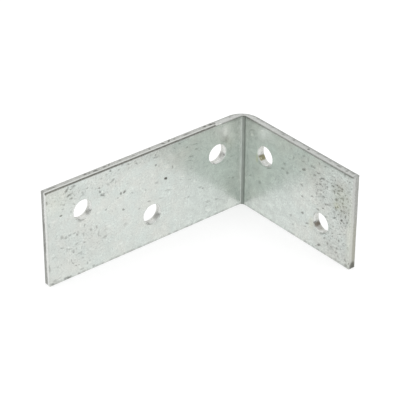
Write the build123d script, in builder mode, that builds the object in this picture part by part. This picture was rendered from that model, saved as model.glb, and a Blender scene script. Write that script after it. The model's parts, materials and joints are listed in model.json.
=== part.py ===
from build123d import *
import os

# A connecting bracket for timber or metal framing: one strip of galvanised steel sheet, sheared
# to length, punched with five screw holes and folded once to a right angle, with unequal legs.
#
# It stands on its lower sheared edge. X runs along the long leg, Y along the short leg and Z
# across the strip. The origin is the outside corner of the fold, where the two outer faces
# would meet if the fold were sharp, at the height of the lower edge.

# Strip and fold, in millimetres. Both legs are measured from the outside corner.
long_leg = 60.0
short_leg = 40.0
strip_width = 25.0
sheet = 2.0
# The sheet is squeezed by the folding tool, so the outside is rounder than the inside and the
# wall is thinner round the corner than along the legs.
fold_inner_radius = 0.8
fold_outer_radius = 5.0

# Screw holes, staggered between an upper and a lower line. Each leg starts on the upper line, and
# its holes are spread evenly from the first, near the fold, to the last, near the leg's end.
long_leg_holes = 3
short_leg_holes = 2
first_hole = 10.0
last_hole_to_end = 10.0
hole_to_strip_edge = 8.0
hole_diameter = 5.2

# The punch enters from the inner side: it rolls the rim over, cuts a straight land, and the
# last of the sheet breaks away a little wider at the outer side.
hole_rim_radius = 0.15
break_depth = 0.7
break_growth = 0.1

# The shear also enters from the inner side and rolls the rim of the whole strip over.
sheared_rim_radius = 0.3

# How far the hole cutter stands out of the sheet at each side.
cutter_overrun = 1.0

hole_radius = hole_diameter / 2
upper_line = strip_width - hole_to_strip_edge
lower_line = hole_to_strip_edge
mid_height = strip_width / 2


def staggered_holes(leg, count):
    """Distance from the outside corner and height of each hole of a leg, from the fold outwards."""
    lines = (upper_line, lower_line)
    pitch = (leg - first_hole - last_hole_to_end) / max(count - 1, 1)
    return [(first_hole + pitch * i, lines[i % 2]) for i in range(count)]


# The space that the punch leaves, round its own Z axis: the outer face is at z = 0 and the
# inner face at z = sheet.
with BuildPart() as punched_hole:
    with BuildSketch(Plane.XZ):
        with BuildLine():
            broken_radius = hole_radius + break_growth
            rim_radius = hole_radius + hole_rim_radius
            land_top = sheet - hole_rim_radius
            rolled_rim = CenterArc((rim_radius, land_top), hole_rim_radius, 180, -90)
            Polyline(
                rolled_rim @ 1,
                (rim_radius, sheet + cutter_overrun),
                (0, sheet + cutter_overrun),
                (0, -cutter_overrun),
                (broken_radius, -cutter_overrun),
                (broken_radius, 0),
                (hole_radius, break_depth),
                rolled_rim @ 0,
            )
        make_face()
    revolve(axis=Axis.Z)

with BuildPart() as bracket:
    # The folded section, seen from above, drawn across the strip.
    with BuildSketch() as section:
        with BuildLine():
            Polyline(
                (0, 0),
                (long_leg, 0),
                (long_leg, sheet),
                (sheet, sheet),
                (sheet, short_leg),
                (0, short_leg),
                close=True,
            )
        make_face()
        fillet(section.vertices().sort_by_distance((0, 0))[0], fold_outer_radius)
        fillet(section.vertices().sort_by_distance((sheet, sheet))[0], fold_inner_radius)
    extrude(amount=strip_width)

    # The rolled rim, all round the inner skin of the sheet. The two lines where the fold runs
    # into the legs are no rim.
    inner_fold = bracket.faces().sort_by_distance((sheet, sheet, mid_height))[0]
    inner_skin = [
        inner_fold,
        bracket.faces().sort_by_distance((long_leg / 2, sheet, mid_height))[0],
        bracket.faces().sort_by_distance((sheet, short_leg / 2, mid_height))[0],
    ]
    fold_lines = inner_fold.edges().filter_by(Axis.Z)
    inner_rim = [
        edge for face in inner_skin for edge in face.edges() if edge not in fold_lines
    ]
    fillet(inner_rim, sheared_rim_radius)

    # The screw holes, square to their leg.
    in_long_leg = [
        Plane(origin=(along, 0, height), z_dir=(0, 1, 0))
        for along, height in staggered_holes(long_leg, long_leg_holes)
    ]
    in_short_leg = [
        Plane(origin=(0, along, height), z_dir=(1, 0, 0))
        for along, height in staggered_holes(short_leg, short_leg_holes)
    ]
    with Locations(*in_long_leg, *in_short_leg):
        add(punched_hole.part, mode=Mode.SUBTRACT)

bracket.part.label = "bracket"

os.makedirs("parts", exist_ok=True)
export_step(bracket.part, "parts/bracket.step")
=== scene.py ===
import json

import bmesh
import bpy
import numpy as np
from mathutils import Matrix, Vector


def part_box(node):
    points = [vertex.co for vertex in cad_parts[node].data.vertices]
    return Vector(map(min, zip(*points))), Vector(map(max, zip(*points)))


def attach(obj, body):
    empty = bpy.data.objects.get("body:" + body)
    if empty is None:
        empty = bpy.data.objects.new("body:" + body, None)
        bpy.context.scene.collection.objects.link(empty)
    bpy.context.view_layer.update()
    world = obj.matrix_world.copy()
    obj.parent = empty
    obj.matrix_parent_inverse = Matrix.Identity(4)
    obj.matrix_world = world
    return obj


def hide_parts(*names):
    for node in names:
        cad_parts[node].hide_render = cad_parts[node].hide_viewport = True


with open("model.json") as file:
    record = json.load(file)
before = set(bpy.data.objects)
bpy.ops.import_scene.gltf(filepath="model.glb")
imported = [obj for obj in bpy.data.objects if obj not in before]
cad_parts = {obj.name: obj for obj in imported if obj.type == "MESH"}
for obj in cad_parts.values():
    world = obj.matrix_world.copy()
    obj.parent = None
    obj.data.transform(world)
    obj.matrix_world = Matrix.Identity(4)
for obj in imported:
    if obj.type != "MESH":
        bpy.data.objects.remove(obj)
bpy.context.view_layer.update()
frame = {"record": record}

# Lengths are in metres in the meshes. Inside a surface's formula and in the finish they are in
# millimetres, which is the scale at which sheet metal is made.
MM = 0.001

# The bracket's own sizes, read from the frame.
LOW, HIGH = (np.array(corner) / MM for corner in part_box("bracket"))
LONG_LEG, SHORT_LEG, WIDTH = HIGH - LOW
MOUNTS = {mount["name"]: mount for mount in frame["record"]["mounts"]}
SHEET = MOUNTS["long_leg_inner_face"]["pos_m"][1] / MM
BORES = [mount for mount in MOUNTS.values() if mount["kind"] == "bore"]
HOLE_RADIUS = BORES[0]["dims"]["r_mm"]

# The fold and the pressed rims, as in the solid.
FOLD_OUTER = 5.0
FOLD_INNER = 0.8
RIM = 0.3
HOLE_RIM = 0.15
BREAK_DEPTH = 0.7
BREAK_GROWTH = 0.1

# The mesh: distance between its columns and its rows, columns over the fold, half the square that is
# left out at a hole, the rings that fill it and the power of their spacing, the distance at which points
# merge, and the angle from which an edge is shaded sharp.
PITCH_ALONG = 1 / 4
PITCH_UP = 1 / 3
FOLD_COLUMNS = 60
HOLE_BLOCK = 4.0
HOLE_RINGS = 8
RING_GROWTH = 0.7
MERGE_DISTANCE = 0.0005
SHARP_DEGREES = 40

# Small irregularities: the border over which the skins' unevenness fades out, how far the outer rim of
# the upper edge is pulled down and from which depth on, and a small blow on the inner rim.
UNEVEN_BORDER = 3
SHORT_RIM_PULL = 0.09
LONG_RIM_PULL = -0.05
PULL_DEPTH = 1.2
NICK_ALONG = -9.5
NICK_HEIGHT = 24.9
NICK_DEPTH = 0.22


def waves(places, lengths, heights, seed):
    """Sum of cosine waves, one for each length, in directions and phases drawn from seed.

    places is a list of coordinate arrays. Each wave is height * cos(2 pi (d . place) / length + phase),
    where d is a unit direction.
    """
    draw = np.random.default_rng(seed)
    total = 0.0
    for length, height in zip(lengths, heights):
        direction = draw.normal(size=len(places))
        direction /= np.linalg.norm(direction)
        phase = draw.uniform(0, 2 * np.pi)
        travel = sum(part * place for part, place in zip(direction, places))
        total = total + height * np.cos(2 * np.pi * travel / length + phase)
    return total


def bell(distance, width):
    """A bell curve: 1 at no distance and 0.37 at one width."""
    return np.exp(-((distance / width) ** 2))


def fold_plan(along, depth):
    """Plan view of the folded sheet.

    along is the distance from the outside corner, negative on the long leg, and depth is measured from
    the inner skin. In the fold, from -FOLD_OUTER to FOLD_OUTER, the outer skin is a quarter circle of that
    radius, and the inner skin is a straight run, a quarter circle of radius FOLD_INNER and a straight run,
    walked at an even pace. Points between the skins lie on the straight line that joins them. The unit
    vector towards the inner skin is given too.
    """
    share = np.clip((along + FOLD_OUTER) / (2 * FOLD_OUTER), 0, 1)
    turn = share * np.pi / 2
    past_long = np.maximum(-along - FOLD_OUTER, 0)
    past_short = np.maximum(along - FOLD_OUTER, 0)
    outer_x = FOLD_OUTER * (1 - np.sin(turn)) + past_long
    outer_y = FOLD_OUTER * (1 - np.cos(turn)) + past_short
    straight = FOLD_OUTER - SHEET - FOLD_INNER
    walked = share * (2 * straight + FOLD_INNER * np.pi / 2)
    bend = np.clip((walked - straight) / FOLD_INNER, 0, np.pi / 2)
    out_run = np.maximum(walked - straight - FOLD_INNER * np.pi / 2, 0)
    inner_x = FOLD_OUTER - np.minimum(walked, straight) - FOLD_INNER * np.sin(bend) + past_long
    inner_y = SHEET + FOLD_INNER * (1 - np.cos(bend)) + out_run + past_short
    through = depth / SHEET
    x = inner_x + (outer_x - inner_x) * through
    y = inner_y + (outer_y - inner_y) * through
    length = np.hypot(inner_x - outer_x, inner_y - outer_y)
    return x, y, (inner_x - outer_x) / length, (inner_y - outer_y) / length


def sheet_surface(along, height, depth):
    """Points of the sheet in metres: the folded plan, a slow unevenness of both skins, and the blow.

    The unevenness is a few hundredths of a millimetre, as rolled and coated strip has, and fades out at
    the sheared outline. The outer rim of the upper edge is pulled down on the short leg and up on the long
    leg, by a share that grows straight with height and with depth.
    """
    x, y, normal_x, normal_y = fold_plan(along, depth)
    pull = SHORT_RIM_PULL * np.clip((along - 1) / 3, 0, 1)
    pull = pull + LONG_RIM_PULL * np.clip(NICK_ALONG - along, 0, 1)
    at_outer_rim = np.clip((depth - PULL_DEPTH) / (SHEET - PULL_DEPTH), 0, 1)
    height_now = height - pull * at_outer_rim * np.clip(height - WIDTH + 1, 0, 1)
    uneven = waves(
        [along, height],
        lengths=(31, 23, 17, 12, 9, 6.5, 4.6, 3.4, 2.7, 2.1),
        heights=(0.016, 0.014, 0.012, 0.011, 0.010, 0.008, 0.005, 0.0035, 0.0025, 0.0016),
        seed=3,
    )
    from_edge = np.minimum(np.minimum(height, WIDTH - height), LONG_LEG + along)
    from_edge = np.minimum(from_edge, SHORT_LEG - along)
    uneven = uneven * np.clip(from_edge / UNEVEN_BORDER, 0, 1)
    lift = uneven - nick_depth(along, height, depth)
    points = np.stack([x + lift * normal_x, y + lift * normal_y, height_now], -1)
    return np.clip(points, LOW, HIGH) * MM


def nick_depth(along, height, depth):
    """A small blow on the inner rim of the upper edge: two bells multiplied, fading through the sheet."""
    spot = bell(along - NICK_ALONG, 0.9) * bell(height - NICK_HEIGHT, 0.7)
    return NICK_DEPTH * spot * np.clip(1 - depth / 0.9, 0, 1)


def lines_from_fold(leg, inset):
    """Grid lines along a leg, from the end of the fold to inset short of the leg's end."""
    lines = np.arange(FOLD_OUTER, leg - 1.5 * PITCH_ALONG, PITCH_ALONG)
    return np.append(lines, leg - inset)


def skin_lines(inset):
    """Grid columns along the strip and grid rows across it, for an outline inset inside the sheared one."""
    fold = np.linspace(-FOLD_OUTER, FOLD_OUTER, FOLD_COLUMNS + 1)[1:-1]
    on_long_leg, on_short_leg = (lines_from_fold(leg, inset) for leg in (LONG_LEG, SHORT_LEG))
    rows = np.arange(2 * PITCH_UP, WIDTH - 1.5 * PITCH_UP, PITCH_UP)
    rows = np.concatenate([[inset], rows, [WIDTH - inset]])
    return np.concatenate([-on_long_leg[::-1], fold, on_short_leg]), rows


def hole_centre(bore):
    """A hole's place on the strip: distance along it, negative on the long leg, and height."""
    x, y, z = np.array(bore["pos_m"]) / MM
    on_long_leg = abs(bore["axis"][1]) > 0.5
    return (-x if on_long_leg else y), z


HOLES = [hole_centre(bore) for bore in BORES]


# Marks on the inner faces, in millimetres. Each row is a place along the strip (negative on the long
# leg) and its height, half length, half width, how strong the mark is, and its angle in degrees where it
# isn't level.
DARK_MARKS = (
    (-59.9, 22.5, 0.2, 0.5, 0.6), (-59.85, 5, 0.25, 1, 0.5), (-59.4, 16.4, 0.2, 0.5, 0.35),
    (-59.4, 20.4, 0.15, 0.4, 0.35), (-59.3, 0.6, 0.6, 0.35, 0.5, -15), (-58.6, 7.5, 0.7, 0.14, 0.35, 30),
    (-58.5, 1.1, 0.8, 0.4, 0.35, -15), (-57.7, 12.5, 0.15, 0.6, 0.2), (-57.45, 4.55, 0.2, 0.25, 0.5),
    (-56.6, 4.8, 0.15, 0.3, 0.3), (-56.3, 9.2, 0.5, 0.14, 0.45, -20), (-56.1, 12, 0.55, 0.35, 0.45, -10),
    (-56.1, 17.9, 0.38, 0.28, 0.95), (-55.9, 20.8, 0.35, 0.2, 0.3, -15), (-55.6, 19.3, 0.4, 0.15, 0.5, -25),
    (-55.3, 20.4, 0.4, 0.3, 0.45, -15), (-55.2, 0.6, 0.9, 0.4, 0.6, -15), (-55.1, 11.5, 0.4, 0.4, 0.45),
    (-54.9, 8.2, 0.2, 0.5, 0.35), (-54.4, 23.8, 0.55, 0.3, 0.8, 30), (-54.1, 0.5, 0.4, 0.35, 0.5),
    (-54.1, 22.1, 0.4, 0.3, 0.35), (-54, 8.1, 0.7, 0.14, 0.3, -20), (-54, 11.7, 0.5, 0.25, 0.5, -15),
    (-53.9, 24.4, 0.3, 0.3, 0.5), (-53.8, 4.7, 0.15, 0.45, 0.45, 15), (-53.7, 12, 0.3, 0.15, 0.35, -20),
    (-53.5, 17.8, 0.3, 0.35, 0.3), (-53.5, 22.35, 0.75, 0.3, 0.65, 10), (-53.3, 3.9, 0.45, 0.14, 0.5, -40),
    (-53.2, 21.3, 0.4, 0.25, 0.6), (-53.1, 6.9, 0.35, 0.5, 0.4), (-52.9, 23.7, 0.35, 0.15, 0.5, -20),
    (-52.7, 11.8, 0.4, 0.25, 0.35), (-52.5, 2.9, 0.3, 0.14, 0.55, -25), (-52.4, 24.2, 0.5, 0.4, 0.5),
    (-52.3, 19.5, 0.35, 0.2, 0.4, -30), (-52.2, 7.4, 0.2, 0.3, 0.35), (-52.1, 8.7, 0.5, 0.25, 0.5, 15),
    (-51.9, 11.1, 0.35, 0.3, 0.45, -30), (-51.7, 2.75, 0.25, 0.13, 0.5, -20),
    (-51.6, 0.3, 0.5, 0.25, 0.35, -15), (-51.5, 11.6, 0.25, 0.2, 0.4), (-51.2, 5.7, 0.7, 0.35, 0.35, -20),
    (-50.9, 1.2, 0.6, 0.25, 0.4, -10), (-50.5, 14.35, 1.2, 0.25, 0.4), (-50.4, 4.2, 0.25, 0.22, 0.35, -30),
    (-50.1, 10.4, 0.22, 0.45, 0.4), (-49.9, 8.2, 0.35, 0.25, 0.4, -20), (-49.9, 21.3, 0.3, 0.5, 0.35),
    (-49.8, 12.7, 0.2, 0.6, 0.35), (-49.5, 20.8, 0.2, 0.25, 0.3), (-49.3, 2.2, 0.25, 0.4, 0.45),
    (-48.6, 22.2, 0.4, 0.2, 0.4, 10), (-48.5, 2.7, 0.35, 0.14, 0.3, -20), (-48.5, 19.6, 0.12, 0.2, 0.3),
    (-48, 10.8, 0.28, 0.5, 0.4), (-47.5, 0.8, 0.5, 0.3, 0.4, -20), (-46.3, 10.9, 0.4, 0.2, 0.55, -60),
    (-46.1, 23.9, 0.1, 0.5, 0.3), (-45.9, 8.9, 0.25, 0.6, 0.3), (-45.3, 20.95, 0.4, 0.2, 0.75, -15),
    (-45.05, 19.9, 0.3, 0.3, 0.75), (-44.6, 23.3, 0.3, 0.3, 0.35), (-44.4, 18.75, 0.75, 0.3, 0.75, -50),
    (-44.3, 21.3, 0.2, 0.3, 0.3), (-44.2, 7.3, 0.85, 0.22, 0.4, 10), (-43.9, 19.1, 0.4, 0.16, 0.55, -15),
    (-43.8, 9.2, 0.45, 0.25, 0.25), (-43.4, 14.5, 0.25, 0.3, 0.6, -30), (-43.2, 23.8, 0.3, 0.3, 0.35),
    (-42.9, 18.95, 0.25, 0.14, 0.5, -30), (-42.7, 20.9, 0.4, 0.3, 0.3), (-42, 24.4, 0.35, 0.4, 0.6),
    (-41.9, 21.2, 0.3, 0.2, 0.45), (-41.7, 13.4, 0.12, 0.3, 0.25), (-41.3, 21.6, 0.5, 0.3, 0.55, 45),
    (-40.8, 13.6, 0.15, 0.3, 0.25), (-40.6, 20.9, 0.15, 0.5, 0.4), (-40.1, 16.4, 0.32, 0.2, 0.45, -20),
    (-39.4, 23.7, 0.3, 0.2, 0.35), (-39.2, 17.2, 0.33, 0.27, 0.85), (-38.55, 12.65, 0.28, 0.24, 0.85, -20),
    (-38.5, 24.7, 0.3, 0.3, 0.5), (-38.1, 17.3, 0.45, 0.27, 0.9, 25), (-37.9, 8.4, 0.6, 0.4, 0.25),
    (-37.3, 19.2, 0.5, 0.15, 0.25, -30), (-36.5, 24.2, 0.6, 0.2, 0.35, -15),
    (-35.8, 16.1, 0.4, 0.16, 0.35, -20), (-34.8, 24.2, 0.4, 0.15, 0.35, -15),
    (-34.6, 23.6, 0.4, 0.2, 0.6, -35), (-34, 11, 0.35, 0.22, 0.35, -20), (-33.5, 17.8, 0.3, 0.15, 0.3, -20),
    (-31.9, 15.4, 0.25, 0.3, 0.3), (-31, 11.9, 0.65, 0.25, 0.5, -15), (-31, 5.55, 1, 0.22, 0.3, -25),
    (-29.3, 23.1, 0.3, 0.2, 0.3), (-28.9, 20.9, 0.35, 0.28, 0.65), (-28.9, 23.7, 0.2, 0.25, 0.55),
    (-28.7, 16.1, 0.5, 0.22, 0.35), (-28.6, 23, 0.5, 0.18, 0.65, -25), (-28.5, 19.3, 0.2, 0.15, 0.3),
    (-28, 9.1, 0.2, 0.2, 0.5), (-27.8, 20.5, 0.3, 0.3, 0.25), (-27.4, 11.5, 0.6, 0.2, 0.3, -20),
    (-25.95, 16.35, 0.42, 0.33, 1.7, -38), (-25.3, 12.8, 1.2, 0.25, 0.28, -10),
    (-23.8, 18.7, 0.22, 0.5, 0.45), (-23.4, 23.6, 0.5, 0.15, 0.3, -20),
    (-21.7, 24.2, 0.35, 0.15, 0.45, -15), (-21.4, 14.25, 0.4, 0.12, 0.4, -20),
    (-20, 8.7, 0.5, 0.15, 0.25, -15), (-19.5, 22.4, 0.3, 0.28, 0.5, -20), (-19, 8.5, 0.3, 0.25, 0.45),
    (-18.6, 13.3, 0.7, 0.12, 0.35, -15), (-18.4, 18.4, 0.7, 0.14, 0.4, -20),
    (-18.2, 16.1, 0.5, 0.18, 0.3, -15), (-18.2, 19.4, 0.8, 0.2, 0.35, -10), (-17, 22.3, 1, 0.2, 0.35, -15),
    (-16.6, 20.9, 0.5, 0.35, 0.4), (-15.4, 9.8, 0.7, 0.35, 0.3, -15), (-14.5, 9.2, 0.35, 0.25, 0.5, -20),
    (-13.5, 3.8, 0.5, 0.4, 0.25), (-13, 4.9, 0.8, 0.3, 0.3, -10), (-10.2, 4.5, 0.4, 0.25, 0.4, -15),
    (-7.2, 20.4, 0.8, 0.9, 0.3), (-6.3, 9.1, 0.5, 0.25, 0.25, -15), (-5.7, 14.9, 0.4, 0.25, 0.3),
    (-4.9, 8.7, 0.6, 0.35, 0.45), (-3.8, 2.3, 0.2, 0.2, 0.3), (-3.2, 20.9, 0.25, 0.35, 0.3),
    (4, 20.5, 0.35, 0.9, 0.25), (4.7, 9.5, 0.5, 0.25, 0.5, 25), (5, 22.1, 1.1, 0.35, 0.3, 15),
    (6.5, 20.4, 0.6, 0.3, 0.25, 20), (7.9, 10.3, 0.35, 0.2, 0.3), (8.4, 9.1, 0.7, 0.3, 0.35),
    (11.7, 14.6, 1.1, 0.25, 0.45, 28), (14.3, 12.8, 0.4, 0.2, 0.35, 20), (16.5, 16.6, 0.7, 0.28, 0.4, 15),
    (17, 18.2, 0.5, 0.25, 0.45, 15), (18.1, 16.3, 0.5, 0.3, 0.5, 20), (19.8, 5.3, 0.5, 0.3, 0.5, 25),
    (20, 21.2, 0.3, 0.45, 0.4), (20.6, 3.1, 0.4, 0.3, 0.4, 40), (20.7, 18.9, 0.3, 0.25, 0.4),
    (22.6, 18.7, 0.35, 0.22, 0.4, 40), (23.2, 15.3, 0.4, 0.3, 0.5), (23.5, 12.2, 0.4, 0.3, 0.7),
    (23.5, 21.8, 0.55, 0.28, 0.4, 20), (23.5, 23.2, 0.7, 0.35, 0.4, 20), (23.7, 19.7, 0.7, 0.28, 0.75, 25),
    (23.8, 7.8, 0.5, 0.3, 0.7, 20), (25, 4.7, 0.4, 0.2, 0.5, 30), (25.1, 23, 0.25, 0.6, 0.3),
    (25.5, 5.7, 0.6, 0.25, 0.7, 30), (26.7, 21.8, 0.8, 0.35, 0.5, 5), (26.9, 13.9, 0.45, 0.22, 0.8, 25),
    (27.5, 19.9, 0.7, 0.3, 0.45, 10), (27.9, 9, 0.2, 0.25, 0.4), (28.2, 9.6, 0.35, 0.2, 0.5, 30),
    (28.3, 15.4, 0.25, 0.35, 0.4), (28.35, 17.8, 0.4, 0.22, 0.75, 10), (28.6, 16.4, 0.25, 0.3, 0.5, 10),
    (28.7, 20.95, 0.5, 0.25, 0.7, 10), (28.8, 1.1, 0.4, 0.2, 0.4, 35), (28.9, 23.6, 0.35, 0.4, 0.35),
    (29.1, 11.3, 0.45, 0.2, 0.6, 15), (29.4, 19.7, 0.35, 0.25, 0.55, 30), (29.5, 18.4, 0.5, 0.4, 0.55),
    (29.8, 1.9, 0.6, 0.3, 0.85, 35), (29.8, 16.9, 0.7, 0.25, 0.4, 20), (29.9, 15.9, 0.25, 0.2, 0.3),
    (30.3, 20.2, 0.8, 0.25, 0.65, 15), (30.6, 5.2, 0.6, 0.18, 0.45, 15), (30.6, 15.4, 0.5, 0.25, 0.4, 20),
    (30.8, 12.45, 0.5, 0.2, 0.8, 28), (30.9, 23.75, 0.5, 0.22, 0.55, 20), (31, 18.9, 0.4, 0.5, 0.3),
    (31.7, 4.75, 0.5, 0.2, 0.5, 20), (31.7, 13.95, 0.5, 0.2, 0.6, 15), (31.7, 23.9, 0.3, 0.15, 0.35, 20),
    (31.75, 18.65, 0.35, 0.15, 0.65, 15), (31.8, 20.25, 0.5, 0.2, 0.5, 10), (32, 10.8, 0.45, 0.2, 0.45, 20),
    (32.1, 5.9, 0.4, 0.18, 0.4, 30), (32.7, 3.6, 0.3, 0.6, 0.35), (32.8, 14.3, 0.7, 0.25, 0.4, 15),
    (33.2, 21.2, 0.6, 0.2, 0.25, 15), (33.4, 12.4, 0.3, 0.25, 0.25), (33.4, 23.7, 0.7, 0.2, 0.35, 20),
    (33.6, 19.8, 0.5, 0.3, 0.55, 15), (34, 18.6, 0.6, 0.3, 0.45, 15), (34.2, 3.3, 0.5, 0.3, 0.3, 30),
    (34.2, 9, 0.3, 0.3, 0.25), (34.3, 7.3, 0.35, 0.15, 0.65, 20), (34.4, 11.6, 0.55, 0.27, 0.75, 30),
    (34.4, 13.1, 0.4, 0.5, 0.4), (34.9, 14.4, 0.3, 0.5, 0.55), (35, 11.95, 0.3, 0.2, 0.4, 30),
    (35, 16.8, 0.5, 0.35, 0.75, 45), (35.2, 14, 0.2, 0.25, 0.4), (35.3, 20.6, 1.3, 0.28, 0.5, 4),
    (35.45, 15, 0.25, 0.22, 1.1, 45), (35.5, 19.4, 0.5, 0.22, 0.6, 30), (35.7, 2.6, 0.35, 0.45, 0.55),
    (35.8, 3.8, 0.5, 0.22, 0.6, 20), (35.8, 18.5, 0.4, 0.35, 0.5), (36.2, 19.7, 0.4, 0.18, 0.55, 25),
    (36.4, 1.9, 0.3, 0.35, 0.35), (36.4, 6.2, 0.25, 0.5, 0.35), (36.6, 8.25, 0.5, 0.2, 0.65, 25),
    (36.6, 20.35, 0.5, 0.25, 0.75, 20), (36.7, 13.3, 0.25, 0.4, 0.35), (36.8, 14.6, 0.35, 0.3, 0.5),
    (36.85, 12, 0.42, 0.28, 0.8, 20), (36.9, 10.5, 0.4, 0.2, 0.3, 20), (37, 18, 0.6, 0.35, 0.65, 15),
    (37.1, 16.7, 0.35, 0.25, 0.9), (37.3, 24.4, 0.35, 0.35, 0.5), (37.4, 15.9, 0.3, 0.15, 0.5, 20),
    (37.6, 14.8, 0.4, 0.45, 0.5), (37.7, 9.9, 0.5, 0.15, 0.25, 20), (37.9, 16.3, 0.5, 0.15, 0.55, 25),
    (38, 5.8, 0.35, 0.35, 0.4), (38.2, 13.7, 0.35, 0.25, 0.55, 20), (38.3, 9, 0.4, 0.2, 0.45, 40),
    (38.4, 11.2, 0.4, 0.2, 0.3, 20), (38.4, 18.6, 0.5, 0.25, 0.35, 20), (38.6, 20.4, 0.4, 0.3, 0.3, 10),
    (38.8, 2.1, 0.35, 0.4, 0.5), (39, 12.6, 0.4, 0.25, 0.35), (39.1, 15.9, 0.3, 0.3, 0.35),
    (39.1, 23.35, 0.35, 0.2, 0.45, 20), (39.2, 0.8, 0.45, 0.35, 0.6, 20), (39.6, 5.6, 0.25, 0.4, 0.3),
    (39.9, 1.5, 0.2, 0.35, 0.9),
)

LIGHT_MARKS = (
    (-58.2, 22.95, 0.4, 0.13, 0.45, -20), (-58, 17, 0.8, 0.3, 0.4), (-57.5, 5.3, 0.25, 0.15, 0.35),
    (-57.5, 23.5, 0.3, 0.13, 0.4, -20), (-55.5, 22.8, 0.3, 0.4, 0.35), (-54.6, 5.2, 0.14, 0.5, 0.45),
    (-54.5, 8.7, 0.7, 0.13, 0.5, -20), (-53.9, 12.3, 0.35, 0.15, 0.6, -30),
    (-51.5, 2.1, 0.7, 0.2, 0.5, -35), (-51.4, 23.9, 0.15, 0.4, 0.3), (-51.2, 7, 0.2, 0.5, 0.4),
    (-50.8, 13.2, 0.2, 0.5, 0.45), (-48.6, 2, 0.4, 0.15, 0.45, -20), (-48, 5.6, 1.1, 0.3, 0.35, -25),
    (-46.6, 22.7, 0.9, 0.2, 0.4, -65), (-45.7, 14.6, 0.5, 0.28, 0.5), (-44.4, 19.6, 0.2, 0.28, 0.7),
    (-43.1, 14.4, 0.14, 0.15, 0.4), (-43, 10, 1, 0.4, 0.35, -30), (-43, 18.4, 0.4, 0.11, 0.45, -30),
    (-42.6, 21.95, 0.25, 0.15, 0.45), (-41.5, 19.2, 0.3, 0.5, 0.35), (-40.1, 20.3, 0.5, 0.13, 0.45, -20),
    (-39.7, 16.3, 0.2, 0.2, 0.45), (-38.4, 16.9, 0.35, 0.16, 0.65, -20), (-37.5, 16.2, 0.4, 0.2, 0.5, -30),
    (-36.7, 8.1, 0.4, 0.25, 0.4), (-35, 4.5, 0.5, 0.3, 0.35), (-34.9, 22.5, 0.15, 0.25, 0.4),
    (-33.6, 22.9, 0.25, 0.12, 0.5, -20), (-29.2, 22.6, 0.25, 0.15, 0.45), (-29, 24.5, 0.4, 0.13, 0.35, -20),
    (-28.6, 16.9, 0.5, 0.14, 0.35), (-25.7, 19.3, 0.6, 0.35, 0.35), (-25.1, 13.2, 0.32, 0.13, 0.8, -20),
    (-24, 9.3, 0.2, 0.8, 0.3), (-23.2, 18.5, 0.3, 0.35, 0.5), (-20.8, 14.9, 0.7, 0.2, 0.65, -10),
    (-18.9, 1.3, 0.5, 0.3, 0.4), (-18.5, 13.7, 0.7, 0.11, 0.5, -15), (-17, 12.1, 0.5, 0.2, 0.4, -20),
    (-12.6, 2.3, 0.6, 0.4, 0.5, -20), (-7.7, 22.7, 0.5, 2, 0.3), (-4.9, 19.4, 0.3, 0.2, 0.4),
    (5.1, 7.5, 0.35, 0.2, 0.3, 20), (5.2, 21, 0.3, 0.35, 1.2), (7.6, 23.3, 0.3, 0.2, 0.5, 20),
    (8.6, 23.5, 0.5, 0.18, 0.9, 20), (12, 4.6, 1, 0.3, 0.3, 20), (14.8, 7.3, 0.3, 0.3, 0.4),
    (18, 7.7, 0.2, 0.8, 0.3), (23.2, 15.95, 0.8, 0.14, 0.5, 25), (27.1, 7.7, 0.25, 0.3, 0.35),
    (27.6, 20.7, 0.25, 0.25, 0.4), (28.2, 12.8, 0.5, 0.4, 0.45), (30.1, 16.3, 0.4, 0.3, 0.45),
    (30.7, 21.4, 0.3, 0.3, 0.45), (31.5, 23.8, 0.2, 0.1, 0.35, 20), (32.4, 22, 0.6, 0.14, 0.55, 20),
    (32.5, 2.3, 0.5, 0.3, 0.3), (32.5, 18.5, 0.5, 0.3, 0.4, 15), (33.4, 19.9, 0.3, 0.12, 0.4, 20),
    (34, 5.9, 0.6, 0.14, 0.3, 20), (34, 17, 0.45, 0.6, 0.35), (34.6, 17.9, 0.5, 0.14, 0.35, 20),
    (35.2, 11.1, 0.6, 0.1, 0.4, 20), (36.3, 10.9, 0.3, 0.2, 0.35), (36.3, 12.3, 0.15, 0.2, 0.3),
    (36.6, 7.5, 0.4, 0.12, 0.3, 20), (36.6, 19.2, 0.4, 0.2, 1, 15), (36.9, 5.6, 0.3, 0.3, 0.4),
    (38.2, 10.6, 0.3, 0.3, 0.35), (38.4, 9.9, 0.3, 0.12, 0.35, 20),
)

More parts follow.
